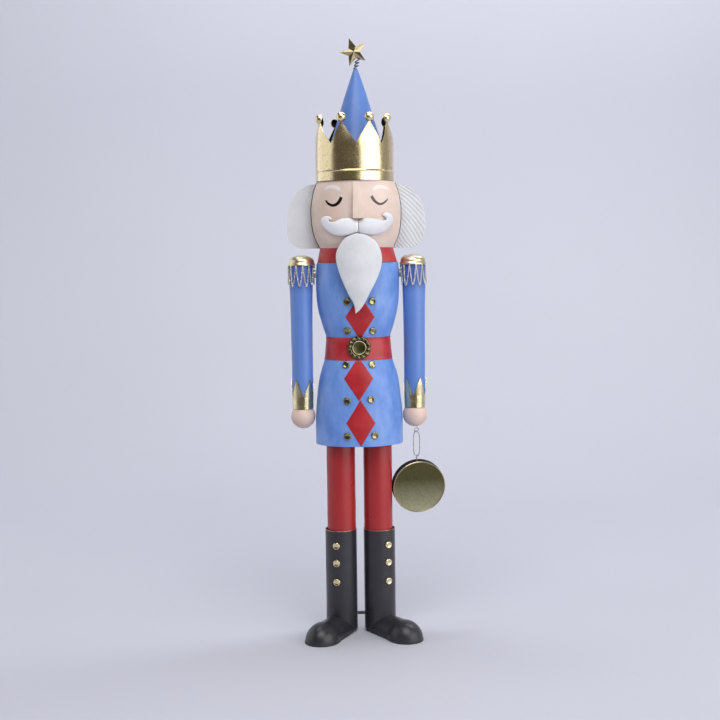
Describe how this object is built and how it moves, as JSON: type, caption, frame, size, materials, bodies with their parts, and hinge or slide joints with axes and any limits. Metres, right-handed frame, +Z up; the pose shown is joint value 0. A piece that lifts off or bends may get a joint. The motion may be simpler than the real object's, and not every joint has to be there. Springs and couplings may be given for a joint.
{
  "type": "nutcracker figure",
  "caption": "Tall standing nutcracker king of painted sheet metal: crown, cone hat with a sprung star, bearded head, belted coat, swinging arms and a small drum hanging from one hand.",
  "frame": {"origin": "middle of the bottom face of the bounding box, on the surface the figure stands on", "axes": "+Z up, the figure faces -Y, and +X is the figure's own left, the side with the drum"},
  "size_m": [0.316, 0.1882, 1.2007],
  "materials": {
    "blue_paint": "satin, slightly mottled",
    "red_paint": "satin",
    "skin_paint": "satin",
    "white_paint": "matt, chalky",
    "black_paint": "satin",
    "antique_gold": "aged leaf over sheet steel, mottled and shiny",
    "bare_steel": "plain wire and bolts"
  },
  "bodies": {
    "figure": {"boot_tube_left": "black_paint", "shoe_left": "black_paint", "boot_button_left_1": "antique_gold", "boot_button_left_2": "antique_gold", "boot_button_left_3": "antique_gold", "leg_left": "red_paint", "boot_tube_right": "black_paint", "shoe_right": "black_paint", "boot_button_right_1": "antique_gold", "boot_button_right_2": "antique_gold", "boot_button_right_3": "antique_gold", "leg_right": "red_paint", "foot_tie_rod": "black_paint", "hip_plate": "black_paint", "skirt": "blue_paint", "jacket": "blue_paint", "belt": "red_paint", "buckle": "antique_gold", "diamond_chest": "red_paint", "diamond_upper": "red_paint", "diamond_lower": "red_paint", "coat_button_left_1": "antique_gold", "coat_button_right_1": "antique_gold", "coat_button_left_2": "antique_gold", "coat_button_right_2": "antique_gold", "coat_button_left_3": "antique_gold", "coat_button_right_3": "antique_gold", "coat_button_left_4": "antique_gold", "coat_button_right_4": "antique_gold", "coat_button_left_5": "antique_gold", "coat_button_right_5": "antique_gold", "collar": "red_paint", "face": "skin_paint", "head_back": "skin_paint", "nose": "skin_paint", "hair_plate_left": "white_paint", "moustache_left": "white_paint", "hair_plate_right": "white_paint", "moustache_right": "white_paint", "beard": "white_paint", "crown": "antique_gold", "hat_cone": "blue_paint", "shoulder_bolt_left": "bare_steel", "shoulder_bolt_right": "bare_steel"},
    "star_spring": {"star_spring": "blue_paint"},
    "star": {"star": "antique_gold"},
    "arm_right": {"arm_right": "blue_paint", "cuff_right": "antique_gold", "hand_right": "skin_paint", "epaulette_right": "antique_gold", "fringe_right": "antique_gold"},
    "arm_left": {"arm_left": "blue_paint", "cuff_left": "antique_gold", "hand_left": "skin_paint", "epaulette_left": "antique_gold", "fringe_left": "antique_gold", "screw_eye": "bare_steel"},
    "drum_link": {"drum_link": "bare_steel"},
    "drum": {"drum_shell": "antique_gold", "drum_head": "antique_gold"}
  },
  "joints": [
    {"name": "right_shoulder", "type": "hinge", "parent": "figure", "child": "arm_right", "pos_m": [-0.10444, 0.01564, 0.735], "axis": [-1, 0, 0], "range_deg": [-15, 60]},
    {"name": "left_shoulder", "type": "hinge", "parent": "figure", "child": "arm_left", "pos_m": [0.06956, 0.01564, 0.735], "axis": [-1, 0, 0], "range_deg": [-15, 60]},
    {"name": "drum_link_swing", "type": "hinge", "parent": "arm_left", "child": "drum_link", "pos_m": [0.09916, 0.01564, 0.4121], "axis": [-1, 0, 0], "range_deg": [-55, 55]},
    {"name": "drum_sway", "type": "hinge", "parent": "drum_link", "child": "drum", "pos_m": [0.09916, 0.01564, 0.3616], "axis": [0, -1, 0], "range_deg": [-0.3, 30]},
    {"name": "star_spring_lean", "type": "hinge", "parent": "figure", "child": "star_spring", "pos_m": [-0.01614, 0.01564, 1.14], "axis": [0, 1, 0], "range_deg": [-15, 15], "stiffness_Nm_per_rad": 0.15},
    {"name": "star_nod", "type": "hinge", "parent": "star_spring", "child": "star", "pos_m": [-0.01614, 0.01564, 1.1558], "axis": [1, 0, 0], "range_deg": [-15, 15], "stiffness_Nm_per_rad": 0.15}
  ]
}
